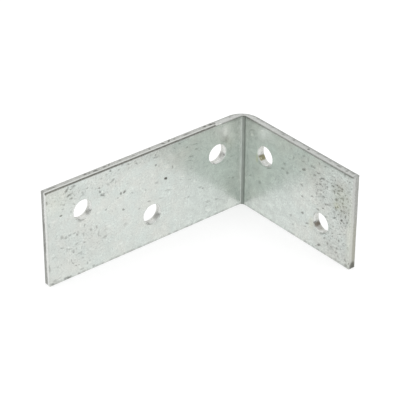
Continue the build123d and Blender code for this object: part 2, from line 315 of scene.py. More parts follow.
# Dark streaks on the cut metal of the upper edge. Here the second number is the depth.
EDGE_MARKS = (
    (-58, 1.4, 0.9, 0.25, 0.35), (-56.9, 1.35, 0.4, 0.25, 0.4), (-48, 1.5, 0.5, 0.3, 0.35),
    (-47, 1.35, 0.4, 0.25, 0.45), (-45.3, 1.3, 0.6, 0.3, 0.5), (-42.7, 1.45, 0.5, 0.25, 0.55),
    (-41.2, 1.5, 0.5, 0.15, 0.5, 50), (-38, 1.5, 0.5, 0.2, 0.3), (-34.4, 1.3, 0.6, 0.2, 0.3),
    (-29.6, 1.35, 0.3, 0.25, 0.5), (-25.6, 1.35, 0.6, 0.2, 0.8, -30), (-23.7, 1.5, 0.5, 0.15, 0.7, 50),
    (-22.2, 1.4, 0.3, 0.2, 0.4), (-18.6, 1.3, 1, 0.3, 0.35), (-12.9, 1.5, 0.5, 0.25, 0.65),
    (-11.2, 1.35, 0.7, 0.25, 0.75, -10), (-10.3, 1.1, 0.3, 0.3, 0.6), (-5.4, 1.3, 0.3, 0.2, 0.3),
    (15.2, 1, 0.6, 0.3, 0.25), (18.8, 1.1, 0.5, 0.3, 0.35), (24, 0.9, 0.4, 0.3, 0.6),
    (27, 1.3, 0.6, 0.2, 0.25), (31.2, 1.2, 0.4, 0.3, 0.3), (34.2, 1.1, 0.7, 0.35, 0.4),
    (36.8, 1, 0.3, 0.4, 0.35), (38.6, 1.2, 0.3, 0.3, 0.3),
)

# Fields of fine dirt, in rows of the same kind.
DIRT_FIELDS = (
    (-30, 12.5, 34, 16, 0.14), (-57, 23, 9, 1.6, 0.35), (-33, 23.6, 9, 1.2, 0.4), (16, 22.5, 9, 2, 0.15),
    (5, 21, 2.5, 3, 0.4), (24, 12, 14, 13, 0.16), (-53, 21.5, 4, 2.6, 0.35), (-50, 8, 9, 5, 0.3, -10),
    (-44, 21, 6, 3, 0.25), (31, 11.5, 3.5, 5, 0.5), (39.5, 21, 2, 4, 0.5), (29.5, 18, 2.6, 3.8, 0.7, 20),
    (36.8, 15.5, 3.6, 6, 1.3, 20), (35.5, 21.5, 4, 2.5, 0.6, 10), (36, 5, 4.5, 5, 0.7, 20),
)


class Shell:
    """Patches of points on the strip, each a rectangular array, joined into one closed mesh."""

    def __init__(self):
        self.points, self.faces, self.count = [], [], 0

    def patch(self, along, height, depth, around=False, keep=None):
        """Adds a grid of quads. around closes it along its second direction; keep masks its faces."""
        along, height, depth = np.broadcast_arrays(along, height, depth)
        rows, columns = along.shape
        index = np.arange(rows * columns).reshape(rows, columns) + self.count
        after = np.roll(index, -1, axis=1)
        quads = np.stack([index[:-1], after[:-1], after[1:], index[1:]], -1)
        if not around:
            quads = quads[:, :-1]
        if keep is not None:
            quads = quads[keep]
        self.points.append(np.stack([along, height, depth], -1).reshape(-1, 3))
        self.faces.append(quads.reshape(-1, 4))
        self.count += rows * columns

    def band(self, rows):
        """Adds a closed band, from rows of (along, height, depth) that each go round it once."""
        rows = np.array([np.broadcast_arrays(*row) for row in rows])
        self.patch(*rows.transpose(1, 0, 2), around=True)

    def mesh(self, name):
        """The mesh, with each vertex's place on the strip kept in an attribute, in millimetres."""
        strip = np.concatenate(self.points)
        faces = np.concatenate(self.faces)
        mesh = bpy.data.meshes.new(name)
        mesh.from_pydata(sheet_surface(*strip.T), [], faces)
        place = mesh.attributes.new("strip", "FLOAT_VECTOR", "POINT")
        place.data.foreach_set("vector", strip.astype(np.float32).ravel())
        shell = bmesh.new()
        shell.from_mesh(mesh)
        bmesh.ops.remove_doubles(shell, verts=shell.verts, dist=MERGE_DISTANCE * MM)
        loose = [vertex for vertex in shell.verts if not vertex.link_faces]
        bmesh.ops.delete(shell, geom=loose, context="VERTS")
        bmesh.ops.recalc_face_normals(shell, faces=shell.faces)
        shell.to_mesh(mesh)
        shell.free()
        paint(mesh)
        return mesh


# The column of a row that holds its strength.
STRENGTH = 4


def full_rows(rows):
    """Rows of marks as an array, with an angle of 0 where a row has none."""
    return np.array([(*row, 0)[:6] for row in rows])


def in_mark(row, right, up):
    """A place as seen from a mark: along and across it, in its half length and its half width."""
    middle_right, middle_up, half_length, half_width, _, angle = row
    cosine, sine = np.cos(np.radians(angle)), np.sin(np.radians(angle))
    right, up = right - middle_right, up - middle_up
    return (right * cosine + up * sine) / half_length, (up * cosine - right * sine) / half_width


def strongest_marks(rows, right, up, face_of, count):
    """The marks that are strongest at the middle of each face, as seen from each of its corners.

    A mark is strength * exp(-r r r r), where r r = a a + b b and a and b are the place as seen from the
    mark. right and up are the corners' places and face_of is each corner's face. For each of count marks
    it gives a, b and the strength, one row for each corner.
    """
    rows = full_rows(rows)
    corners = np.bincount(face_of)
    middle_right = np.bincount(face_of, right) / corners
    middle_up = np.bincount(face_of, up) / corners
    weakness = np.full((count, len(corners)), np.inf)
    chosen = np.zeros((count, len(corners)), int)
    for number, row in enumerate(rows):
        a, b = in_mark(row, middle_right, middle_up)
        weak, which = (a * a + b * b) ** 2 - np.log(row[STRENGTH]), np.full(len(corners), number)
        for place in range(count):
            better = weak < weakness[place]
            weakness[place], weak = np.where(better, (weak, weakness[place]), (weakness[place], weak))
            chosen[place], which = np.where(better, (which, chosen[place]), (chosen[place], which))
    seen = []
    for place in range(count):
        row = rows[chosen[place][face_of]].T
        seen.append(np.stack([*in_mark(row, right, up), row[STRENGTH]], -1))
    return seen


def paint(mesh):
    """Keeps in attributes how dusty each vertex is and, at each corner of a face, the face's marks.

    The marks are on the inner skin, fading over its rolled rim, and on the upper edge. Waves of a tenth
    of a millimetre bend the place a little, so that no mark is a plain ellipse.
    """
    strip = np.empty(len(mesh.vertices) * 3, np.float32)
    mesh.attributes["strip"].data.foreach_get("vector", strip)
    along, height, depth = strip.reshape(-1, 3).T.astype(float)
    inner = np.clip(1 - depth / RIM, 0, 1)
    dusty = np.zeros_like(along)
    for row in full_rows(DIRT_FIELDS):
        a, b = in_mark(row, along, height)
        dusty += row[STRENGTH] * np.exp(-((a * a + b * b) ** 2)) * inner
    mesh.attributes.new("dusty", "FLOAT", "POINT").data.foreach_set("value", dusty.astype(np.float32))

    vertex_of = np.empty(len(mesh.loops), np.int32)
    mesh.loops.foreach_get("vertex_index", vertex_of)
    corners = np.empty(len(mesh.polygons), np.int32)
    mesh.polygons.foreach_get("loop_total", corners)
    face_of = np.repeat(np.arange(len(corners)), corners)
    places = [along, height]
    bent_along = along + waves(places, (2.3, 1.5, 1.1, 0.8), (0.07, 0.06, 0.05, 0.04), seed=41)
    bent_height = height + waves(places, (2.1, 1.4, 1.0, 0.7), (0.07, 0.06, 0.05, 0.04), seed=42)
    right, up, down = bent_along[vertex_of], bent_height[vertex_of], depth[vertex_of]
    upper_edge = (height[vertex_of] > WIDTH - 0.4) & (down > RIM)
    upper_edge = (np.bincount(face_of, upper_edge) == corners)[face_of][:, None]
    fade = np.stack([np.ones_like(right), np.ones_like(right), inner[vertex_of]], -1)
    dark = strongest_marks(DARK_MARKS, right, up, face_of, 2)
    edge = strongest_marks(EDGE_MARKS, right, down, face_of, 2)
    light = strongest_marks(LIGHT_MARKS, right, up, face_of, 1)
    for name, marks in (
        ("first_mark", np.where(upper_edge, edge[0], dark[0] * fade)),
        ("second_mark", np.where(upper_edge, edge[1], dark[1] * fade)),
        ("light_mark", light[0] * fade),
    ):
        kept = mesh.attributes.new(name, "FLOAT_VECTOR", "CORNER")
        kept.data.foreach_set("vector", marks.astype(np.float32).ravel())


def add_skin(shell, depth, inset, rim_radius):
    """One side of the sheet: a grid over the whole strip with a square left out at each hole, and in each
    square rings that change from the square to the hole's rim."""
    columns, rows = skin_lines(inset)
    along, height = np.meshgrid(columns, rows)
    middle_along = (along[:-1, :-1] + along[1:, 1:]) / 2
    middle_height = (height[:-1, :-1] + height[1:, 1:]) / 2
    keep = np.ones(middle_along.shape, bool)
    for centre_along, centre_height in HOLES:
        outside = abs(middle_along - centre_along) > HOLE_BLOCK
        keep &= outside | (abs(middle_height - centre_height) > HOLE_BLOCK)
    shell.patch(along, height, depth, keep=keep)
    square_along, square_height = square_ring()
    circle_along, circle_height = ring(rim_radius)
    share = np.linspace(0, 1, HOLE_RINGS + 1)[:, None] ** RING_GROWTH
    for centre_along, centre_height in HOLES:
        shell.patch(
            centre_along + square_along + (circle_along - square_along) * share,
            centre_height + square_height + (circle_height - square_height) * share,
            depth,
            around=True,
        )


COUNT_ALONG = round(2 * HOLE_BLOCK / PITCH_ALONG)
COUNT_UP = round(2 * HOLE_BLOCK / PITCH_UP)


def square_ring():
    """The grid points on the square round a hole, from its lower left corner, anticlockwise."""
    across = np.arange(COUNT_ALONG) / COUNT_ALONG * 2 - 1
    up = np.arange(COUNT_UP) / COUNT_UP * 2 - 1
    along = np.concatenate([across, np.ones(COUNT_UP), -across, -np.ones(COUNT_UP)])
    height = np.concatenate([-np.ones(COUNT_ALONG), up, np.ones(COUNT_ALONG), -up])
    return HOLE_BLOCK * along, HOLE_BLOCK * height


def ring(radius):
    """A circle's points, one for each point of the square: each side of the square has a quarter."""
    counts = (COUNT_ALONG, COUNT_UP, COUNT_ALONG, COUNT_UP)
    turns = [quarter + np.arange(count) / count for quarter, count in enumerate(counts)]
    angle = (np.concatenate(turns) - 1.5) * np.pi / 2
    return radius * np.cos(angle), radius * np.sin(angle)


def outline(inset):
    """The closed outline that lies inset inside the sheared one, anticlockwise from the long leg's foot."""
    columns, rows = skin_lines(inset)
    level, upright = np.ones(len(columns) - 1), np.ones(len(rows) - 1)
    along = [columns[:-1], upright * columns[-1], columns[:0:-1], upright * columns[0]]
    height = [level * rows[0], rows[:-1], level * rows[-1], rows[:0:-1]]
    return np.concatenate(along), np.concatenate(height)


# The sheared edge, from the inner skin outwards: rolled rim, smooth cut, then the broken part, which
# leans in a little and ends in a thin turned rim at the outer skin. It stands straight on the upper edge
# of the long leg and at the short leg's end.
SMOOTH_CUT_DEPTH = 0.85
BREAK_LEAN = 0.07
CUT_INSET = 0.04
WAVY_SHARE = 0.7
OUTER_RIM = 0.08
OUTER_RIM_DEPTH = 0.05


def rolled_rim(radius, rows):
    """Depth and inset of each row of a rolled rim, a quarter circle from the inner skin to the cut."""
    turns = np.linspace(0, np.pi / 2, rows)
    return [(radius * (1 - np.cos(turn)), radius * (1 - np.sin(turn))) for turn in turns]


def add_sheared_edge(shell):
    """The band of cut metal all round the strip, as rows of outlines at growing depth.

    Each row keeps its own inset. The broken rows and the waviness of the shear are sums of waves, and fade
    to nothing at both skins so that the band meets them.
    """
    smooth = [(depth, 0.0) for depth in np.linspace(RIM, SMOOTH_CUT_DEPTH, 5)[1:]]
    broken_depths = np.linspace(SMOOTH_CUT_DEPTH, SHEET - OUTER_RIM_DEPTH, 9)[1:]
    span = broken_depths[-1] - SMOOTH_CUT_DEPTH
    broken = [(depth, 0.0) for depth in broken_depths]
    out_along, out_height = outline(0.0)
    in_along, in_height = outline(RIM)
    step = np.hypot(out_along - in_along, out_height - in_height)
    rows = []
    for depth, inset in rolled_rim(RIM, 6) + smooth + broken + [(SHEET, OUTER_RIM)]:
        row_along, row_height = outline(inset)
        fade = np.clip(depth / SMOOTH_CUT_DEPTH, 0, 1)
        fade = fade * np.clip((SHEET - depth) / OUTER_RIM_DEPTH, 0, 1)
        wavy = waves([row_along, row_height], (13, 7, 4.4, 2.9), (0.03, 0.028, 0.02, 0.012), seed=11)
        rough = waves(
            [row_along, row_height, np.full_like(row_along, depth * 0.4)],
            (1.9, 1.4, 1.1, 0.9, 0.74, 0.62),
            (0.009, 0.009, 0.008, 0.008, 0.007, 0.006),
            seed=12,
        )
        is_broken = np.clip((depth - SMOOTH_CUT_DEPTH) / 0.2, 0, 1)
        straight = (row_height > WIDTH - 1) * np.clip(NICK_ALONG - row_along, 0, 1)
        straight = np.maximum(straight, row_along > SHORT_LEG - 1)
        lean = CUT_INSET + BREAK_LEAN * np.clip((depth - SMOOTH_CUT_DEPTH) / span, 0, 1)
        push = (wavy * WAVY_SHARE + rough * is_broken - 0.01 - lean * (1 - straight)) * fade
        row_along = row_along + push * (out_along - in_along) / step
        row_height = row_height + push * (out_height - in_height) / step
        rows.append((row_along, row_height, depth))
    shell.band(rows)


def add_hole_wall(shell, centre_along, centre_height, seed):
    """The wall of a punched hole: rolled rim, straight land, then the broken end, a little wider and
    rough, with its radius a sum of waves round the hole and down it."""
    land_end = SHEET - BREAK_DEPTH
    rolled = [(depth, HOLE_RADIUS + inset) for depth, inset in rolled_rim(HOLE_RIM, 5)]
    land = [(depth, HOLE_RADIUS) for depth in np.linspace(HOLE_RIM, land_end, 6)[1:]]
    broken = [
        (depth, HOLE_RADIUS + BREAK_GROWTH * (depth - land_end) / BREAK_DEPTH)
        for depth in np.linspace(land_end, SHEET, 8)[1:]
    ]
    round_along, round_height = ring(1.0)
    rows = []
    for depth, radius in rolled + land + broken:
        fade = np.clip((depth - land_end) / 0.15, 0, 1) * np.clip((SHEET - depth) / 0.1, 0, 1)
        rough = waves(
            [round_along * HOLE_RADIUS, round_height * HOLE_RADIUS, np.full_like(round_along, depth)],
            (2.1, 1.5, 1.1, 0.8, 0.6),
            (0.012, 0.011, 0.01, 0.009, 0.008),
            seed=seed,
        )
        size = radius + rough * fade
        rows.append((centre_along + round_along * size, centre_height + round_height * size, depth))
    shell.band(rows)


def add_object(name, data):
    """A new object in the scene."""
    thing = bpy.data.objects.new(name, data)
    bpy.context.scene.collection.objects.link(thing)
    return thing


def make_bracket():
    """The whole bracket as one closed mesh: two skins, the sheared edge and the hole walls."""
    shell = Shell()
    add_skin(shell, 0.0, RIM, HOLE_RADIUS + HOLE_RIM)
    add_skin(shell, SHEET, OUTER_RIM, HOLE_RADIUS + BREAK_GROWTH)
    add_sheared_edge(shell)
    for number, (centre_along, centre_height) in enumerate(HOLES):
        add_hole_wall(shell, centre_along, centre_height, seed=20 + number)
    mesh = shell.mesh("folded_strip")
    mesh.polygons.foreach_set("use_smooth", np.ones(len(mesh.polygons), bool))
    mesh.set_sharp_from_angle(angle=np.radians(SHARP_DEGREES))
    return add_object("folded_strip", mesh)


class Wire:
    """An output of a node. Operators on it add Math nodes."""

    def __init__(self, finish, socket):
        self.finish, self.socket = finish, socket

    def math(self, operation, *values):
        inputs = dict(enumerate(values))
        return self.finish.node("Math", {"operation": operation}, inputs)

    def __add__(self, other):
        return self.math("ADD", self, other)

    def __sub__(self, other):
        return self.math("SUBTRACT", self, other)

    def __mul__(self, other):
        return self.math("MULTIPLY", self, other)

    def __rsub__(self, other):
        return self.math("SUBTRACT", other, self)

    def __abs__(self):
        return self.math("ABSOLUTE", self)

    __radd__ = __add__
    __rmul__ = __mul__

    def over(self, low, high):
        """Rises smoothly from 0 at low to 1 at high, and falls where low is the larger."""
        falls = low > high
        first, last = (high, low) if falls else (low, high)
        settings = {"interpolation_type": "SMOOTHSTEP"}
        inputs = {"Value": self, "From Min": first, "From Max": last}
        rise = self.finish.node("MapRange", settings, inputs)
        return 1 - rise if falls else rise


class Finish:
    """The nodes of a material or of a world, all made by one method."""

    def __init__(self, owner):
        self.owner = owner
        owner.use_nodes = True
        self.tree = owner.node_tree
        self.tree.nodes.clear()

    def node(self, kind, settings=None, inputs=None, output=0):
        """Adds a node, makes its settings, then sets or links its sockets, and gives one output."""
        node = self.tree.nodes.new("ShaderNode" + kind)
        for name, value in (settings or {}).items():
            setattr(node, name, value)
        for name, value in (inputs or {}).items():
            if isinstance(value, Wire):
                self.tree.links.new(value.socket, node.inputs[name])
            else:
                node.inputs[name].default_value = value
        return Wire(self, node.outputs[output]) if len(node.outputs) else None

    def kept(self, name, output=1):
        """What the mesh keeps under a name: three numbers, or a single one as output 2."""
        return self.node("Attribute", {"attribute_name": name}, output=output)

    def noise(self, place, scale, detail=2.0, roughness=0.5):
        """The noise texture at a place in millimetres."""
        inputs = {"Vector": place, "Scale": scale, "Detail": detail, "Roughness": roughness}
        return self.node("TexNoise", None, inputs)

    def split(self, place):
        """The three parts of a place."""
        parts = self.node("SeparateXYZ", None, {0: place})
        return (Wire(self, socket) for socket in parts.socket.node.outputs)

    def stretched(self, place, scale):
        """The same place with each of its three parts multiplied."""
        return self.node("VectorMath", {"operation": "MULTIPLY"}, {0: place, 1: scale})

    def moved(self, place, way):
        """The same place moved by a fixed way."""
        return self.node("VectorMath", {"operation": "ADD"}, {0: place, 1: way})

    def shaded(self, colour, shade):
        """A colour with all its parts multiplied by one number."""
        grey = self.node("CombineColor", None, {0: shade, 1: shade, 2: shade})
        return self.blend(1.0, colour, grey, "MULTIPLY")

    def capped(self, value):
        """The value, but never below 0 or above 1."""
        return self.node("Clamp", None, {0: value})

    def blend(self, factor, first, second, way="MIX"):
        """Mixes two colours."""
        settings = {"data_type": "RGBA", "blend_type": way}
        return self.node("Mix", settings, {0: factor, 6: first, 7: second}, output=2)

    def mark(self, name, border):
        """The mark kept in an attribute, strength * exp(-r r r r), with border added to r r."""
        a, b, strength = self.split(self.kept(name))
        reach = a * a + b * b + border
        return strength * reach.math("EXPONENT", 0 - reach * reach)

    def ball(self, place, centre, size, soft):
        """1 inside an ellipsoid with half lengths size and 0 outside, with a soft border."""
        inputs = {"Vector": place, "Location": centre, "Scale": size}
        local = self.node("Mapping", {"vector_type": "TEXTURE"}, inputs)
        reach = self.node("VectorMath", {"operation": "LENGTH"}, {0: local}, output=1)
        return reach.over(1 + soft, 1 - soft)


ZINC_WARM = (0.706, 0.724, 0.684, 1)
ZINC_COOL = (0.686, 0.736, 0.703, 1)
ZINC_FOLD = (0.645, 0.693, 0.655, 1)
DIRT_AND_SHADE = (0.11, 0.11, 0.095, 1)
RIM_DARK = (0.08, 0.075, 0.06, 1)
BRIGHT_ZINC_AND_REFLECTION = (0.93, 0.95, 0.9, 1)
BARE_SMOOTH = (0.65, 0.665, 0.64, 1)
BARE_BROKEN = (0.43, 0.435, 0.415, 1)
OLIVE = (0.29, 0.275, 0.15, 1)
BROWN = (0.17, 0.145, 0.115, 1)
CREASE_DARK = (0.2, 0.225, 0.2, 1)
BUFF = (0.62, 0.6, 0.48, 1)
PALE_OLIVE = (0.6, 0.62, 0.4, 1)
SAND = (0.7, 0.71, 0.58, 1)
MOSS = (0.5, 0.5, 0.3, 1)
DULL_OLIVE = (0.42, 0.41, 0.3, 1)
STRAW = (0.74, 0.76, 0.6, 1)
REED = (0.6, 0.62, 0.45, 1)

# Stains and faint tints, and some patches of painted shade and light, soft ellipsoids: centre (along,
# height, depth), half sizes, softness of the border, colour and strength. One whose centre is deeper than
# FACE_DEPTH is on cut metal.
FACE_DEPTH = 0.5
STAINS = (
    ((7.88, 15.44, 0.9), (0.66, 0.7, 1.7), 0.3, OLIVE, 0.9),
    ((27.95, 6.4, 0.9), (0.5, 0.65, 2.5), 0.7, BROWN, 0.9),
    ((28.75, 5.7, 1.2), (0.9, 0.7, 0.9), 0.6, BROWN, 0.5),
    ((8.8, 14.7, 1), (1, 0.7, 0.85), 0.4, DIRT_AND_SHADE, 0.16),
    ((-48.15, 15.15, 0.9), (0.55, 0.55, 0.7), 0.6, DIRT_AND_SHADE, 0.5),
    ((-28.1, 6.15, 0.9), (0.8, 0.8, 0.9), 0.6, DIRT_AND_SHADE, 0.42),
    ((-29, 6, 1), (2.4, 1.7, 0.85), 0.3, DIRT_AND_SHADE, 0.12),
    ((-7.95, 15.3, 0.8), (0.8, 0.8, 1.2), 0.6, DIRT_AND_SHADE, 0.28),
    ((-8.9, 14.6, 0.05), (1.2, 0.6, 0.35), 0.5, DIRT_AND_SHADE, 0.22),
    ((8.9, 14.6, 0.05), (1.2, 0.6, 0.35), 0.5, DIRT_AND_SHADE, 0.25),
    ((-29.2, 5.5, 0.05), (1.4, 0.5, 0.3), 0.5, DIRT_AND_SHADE, 0.14),
    # Painted shade at the short leg's foot.
    ((31.5, 2, 0), (3, 2.5, 0.5), 0.6, DIRT_AND_SHADE, 0.08),
    ((2.5, 24, 0), (3.5, 2.5, 0.5), 0.7, DIRT_AND_SHADE, 0.14),
    ((4, 3, 0), (1.6, 2.8, 0.3), 0.8, DIRT_AND_SHADE, 0.12),
    ((28.2, 5.6, 0), (1.8, 1.2, 0.3), 0.8, BROWN, 0.1),
    ((-8.5, 20.3, 0), (2, 1.3, 0.3), 0.8, DIRT_AND_SHADE, 0.08),
    ((-6.5, 15.5, 0), (1.2, 2.5, 0.3), 0.8, DIRT_AND_SHADE, 0.07),
    ((-11.2, 23, 0), (1.5, 1.5, 0.3), 0.8, DIRT_AND_SHADE, 0.08),
    # Painted reflection: a bright patch at the long leg's foot beside the fold.
    ((-5, 1.2, 0), (2, 2.2, 0.3), 0.8, BRIGHT_ZINC_AND_REFLECTION, 0.35),
    ((6.6, 14, 0), (1.6, 2.2, 0.3), 0.8, DIRT_AND_SHADE, 0.09),
    ((31.3, 23, 0), (1.5, 1.5, 0.3), 0.8, DIRT_AND_SHADE, 0.07),
    ((18.8, 11, 0), (1.3, 1.5, 0.3), 0.8, DIRT_AND_SHADE, 0.07),
    ((27, 6.6, 0), (0.8, 1.4, 0.3), 0.8, BUFF, 0.4),
    ((7.2, 15.3, 0), (0.4, 1.1, 0.3), 0.6, PALE_OLIVE, 0.5),
    ((40, 8, 0.2), (1, 7, 0.8), 0.9, SAND, 0.28),
    ((35.1, 15.2, 0), (0.9, 0.8, 0.3), 0.7, MOSS, 0.25),
    ((40, 5, 1.5), (0.5, 7.5, 0.6), 0.5, DULL_OLIVE, 0.35),
    ((-60, 10, 1.4), (0.4, 1.2, 0.4), 0.5, DIRT_AND_SHADE, 0.3),
    ((-60, 16, 1.4), (0.4, 1.3, 0.4), 0.5, DIRT_AND_SHADE, 0.35),
    ((-57.5, 22, 0), (3.5, 3, 0.3), 0.9, STRAW, 0.15),
    ((36.8, 17.8, 0), (2.6, 3, 0.3), 0.9, REED, 0.2),
    ((39.9, 0.5, 1.15), (0.6, 1.3, 0.8), 0.4, DIRT_AND_SHADE, 0.8),
)


def coating(finish, place, mottle, grain, streak):
    """The zinc before any mark: cool and warm greys in clouds, made lighter and darker."""
    along, height, _ = finish.split(place)
    from_fold = abs(along)
    near_fold = from_fold.over(20, 7)
    warm_top = near_fold * height.over(16, 21) * along.over(1, -3)

    # The colour is greyer near the fold but warm at its top.
    tint = finish.noise(finish.moved(place, (40, 7, 0)), 0.17, 3, 0.6)
    cool_band = from_fold.over(24, 18) * from_fold.over(7, 11) * height.over(22, 18)
    colour = finish.blend(tint.over(0.3, 0.7) * (1 - 0.8 * cool_band), ZINC_COOL, ZINC_WARM)
    colour = finish.blend(near_fold * 0.7, colour, ZINC_FOLD)
    colour = finish.blend(warm_top * 0.8, colour, ZINC_WARM)

    # The brightness: mottling in three sizes, stronger on the short leg, and light and dark hairlines
    # where a noise crosses one value or another, broken up by a coarser noise.
    cloud = finish.noise(place, 0.16)
    patches = mottle.over(0.4, 0.6)
    speckle = mottle * 0.05 + patches * 0.034 + grain * 0.37 - 0.227
    speckle = speckle * (1 + 0.25 * along.over(-31, -27) + 0.4 * along.over(7, 14))
    speckle = speckle + near_fold * (patches - 0.5) * 0.05
    crossing = finish.noise(finish.moved(place, (9, 0, 0)), 1.1, 2, 0.6)
    broken_up = finish.noise(finish.moved(place, (0, 20, 0)), 0.5).over(0.48, 0.6)
    strokes = abs(crossing - 0.5).over(0.03, 0) - abs(crossing - 0.42).over(0.02, 0)

    # Slow changes: darker parts, most of them at the ends; a painted bright patch beside the fold on both
    # legs, painted light where the other leg's reflected shade ends; a painted highlight on the long leg's
    # side of the crease and a band of painted shade on the other side.
    # Darker at both ends, on the outer half and the lower part of the short leg, and near the long leg's
    # end at mid height.
    darker_parts = along.over(-53.5, -59) + along.over(36, 40) + 0.35 * along.over(18, 27)
    darker_parts = darker_parts + 0.5 * along.over(12, 17) * height.over(10, 6)
    darker_parts = darker_parts + 0.7 * along.over(-47, -52) * height.over(11, 14) * height.over(21, 17)
    # Painted light: a bright patch beside the fold, where the reflected shade of the other leg ends.
    reflection_border_light = from_fold.over(6, 9) * from_fold.over(18, 12) * height.over(3, 7) * height.over(20, 14)
    # Painted shade: a dark band beside the crease on the short leg, stronger higher up.
    crease_side_shade = along.over(0.5, 0.9) * along.over(6.5, 2) * height.over(4, 14)
    shade = cloud * 0.045 + speckle + streak * (warm_top * 0.25 + 0.04)
    shade = shade + 0.9575 - warm_top * 0.125 + strokes * broken_up * 0.17 + reflection_border_light * 0.045
    shade = shade + crease_highlight(along, height) * 0.12 - crease_side_shade * 0.15 - darker_parts * 0.05
    return finish.shaded(colour, shade)


def crease_highlight(along, height):
    """A painted highlight: a bright line on the long leg's side of the crease, weaker towards the foot."""
    return along.over(-1.9, -1.5) * along.over(-0.6, -1) * height.over(-4, 9)


def marked(finish, place, colour, light, dark, dusty):
    """A colour with light and dark marks and with dirt in the dusty fields, painted shade at the foot of
    the faces, and darker under the rim of the upper edge."""
    along, height, _ = finish.split(place)
    scallops = finish.noise(finish.stretched(place, (1, 0.3, 1)), 0.9)
    # Painted shade at the foot of the faces, in scallops, laid on with the same colour as the dirt.
    foot = height.over(0.95, 0.3) * scallops.over(0.35, 0.65)
    colour = finish.blend(light * 0.8, colour, BRIGHT_ZINC_AND_REFLECTION)
    colour = finish.blend(finish.capped(dark * 0.7 + foot * 0.4), colour, DIRT_AND_SHADE)
    # Darker under the rim of the upper edge, most near the fold and towards the short leg's end.
    under_rim = 0.05 + 0.2 * abs(along).over(9, 5) + 0.12 * along.over(28, 34)
    under_rim = height.over(WIDTH - 1.2, WIDTH - 0.4) * under_rim
    return finish.shaded(colour, 1 - 0.17 * dusty - under_rim)


def crease_shade_mask(finish, place):
    """The bottom of the fold, darkened with painted shade in the crease, broken up by a stretched noise."""
    along, _, _ = finish.split(place)
    crazing = finish.noise(finish.stretched(place, (0.3, 0.5, 1)), 0.9, 3)
    return along.over(-0.75, -0.25) * along.over(1.5, 0.9) * (crazing * 0.3 + 0.75)


def on_upper_edge(height):
    """The cut metal of the upper edge."""
    return height.over(WIDTH - 0.5, WIDTH - 0.35)


def past_nick(along):
    """The fold and the short leg, from the nick on."""
    return along.over(-9.9, -9.3)


def cut_metal(finish, place, dark):
    """Colour of the cut metal, with how broken and how ragged it is.

    The smooth cut comes first and the broken part lies beyond it. On the upper edge of the short leg and
    of the fold, as far as the nick, the smooth cut takes the whole depth.
    """
    along, height, depth = finish.split(place)
    at_top = on_upper_edge(height)
    left_end = along.over(-LONG_LEG + 0.5, -LONG_LEG + 0.35)
    right_end = along.over(SHORT_LEG - 0.5, SHORT_LEG - 0.35)
    whole = at_top * past_nick(along)
    sheared = finish.capped(at_top + left_end + right_end + height.over(0.5, 0.35))
    ragged = finish.noise(finish.stretched(place, (1.7, 1.7, 0.7)), 1, 3)
    deeper = whole * 2 + left_end * 0.05
    broken = (depth + ragged * 0.5 - deeper).over(SMOOTH_CUT_DEPTH + 0.2, SMOOTH_CUT_DEPTH + 0.5)

    hatch = finish.noise(finish.stretched(place, (4, 4, 1.6)), 1, 3)
    # Painted shade: the broken part darker at both ends, and the smooth cut darker at the short leg's end
    # and, past the nick, on the upper edge and towards the outer skin.
    end_shade = 1 - 0.24 * left_end - 0.12 * right_end
    tooth = (0.7 + 0.9 * hatch) * end_shade * (1.4 - 0.4 * sheared)
    smooth = 0.81 + 0.5 * hatch - (0.06 + 0.03 * along.over(5, 14)) * depth * whole
    smooth = smooth * (1 - (0.09 + 0.05 * along.over(4, 16)) * whole) * (1 - 0.26 * right_end)
    smooth_colour = finish.shaded(BARE_SMOOTH, smooth)
    colour = finish.blend(broken, smooth_colour, finish.shaded(BARE_BROKEN, tooth))

    pit_place = finish.stretched(finish.moved(place, (0, 0, 3)), (1.2, 1.2, 3))
    pits = finish.noise(pit_place, 1, 3, 0.6).over(0.58, 0.68)
    outer_line = depth.over(1.6, 1.85) * (0.15 + 0.25 * whole)
    dirt = (pits * broken * 0.45 + outer_line) * sheared + dark * 1.2
    return finish.blend(finish.capped(dirt), colour, DIRT_AND_SHADE), broken, ragged


def rim_shade_line(finish, place, colour, streak):
    """A colour with a painted shade line along the rolled rim, standing in for the dark that the rim
    reflects: a faint line at the long leg's end, a broad one along the upper edge of the long leg, with a
    gap at the nick, and a thin one on from there."""
    along, height, depth = finish.split(place)
    end_line = along.over(-LONG_LEG + 0.32, -LONG_LEG + 0.22) * depth.over(0.35, 0.2) * streak
    colour = finish.blend(end_line * 0.18, colour, RIM_DARK)
    nick = abs(along - NICK_ALONG).over(1.2, 0.6)
    broad = on_upper_edge(height) * (1 - past_nick(along)) * depth.over(0, 0.1) * depth.over(0.62, 0.42)
    broad = broad * (streak * 0.5 + 0.6)
    thin = height.over(WIDTH - 0.42, WIDTH - 0.22) * depth.over(0.3, 0.2) * past_nick(along)
    thin = thin * (1 - 0.4 * along.over(2.5, 0.5)) * (1 - 0.25 * along.over(0, 2))
    thin = thin * (streak * 0.5 + 0.4)
    return finish.blend(finish.capped((broad + thin) * (1 - nick)), colour, RIM_DARK)


def stained(finish, place, colour, ragged_grain):
    """A colour with all stains and tints laid over it. Those on cut metal keep off the inner skin."""
    _, _, depth = finish.split(place)
    blotch = ragged_grain.over(0.15, 0.42)
    for centre, size, soft, stain, strength in STAINS:
        spot = finish.ball(place, centre, size, soft) * blotch * strength
        if centre[2] > FACE_DEPTH:
            spot = spot * depth.over(0.02, 0.4)
        colour = finish.blend(spot, colour, stain)
    return colour


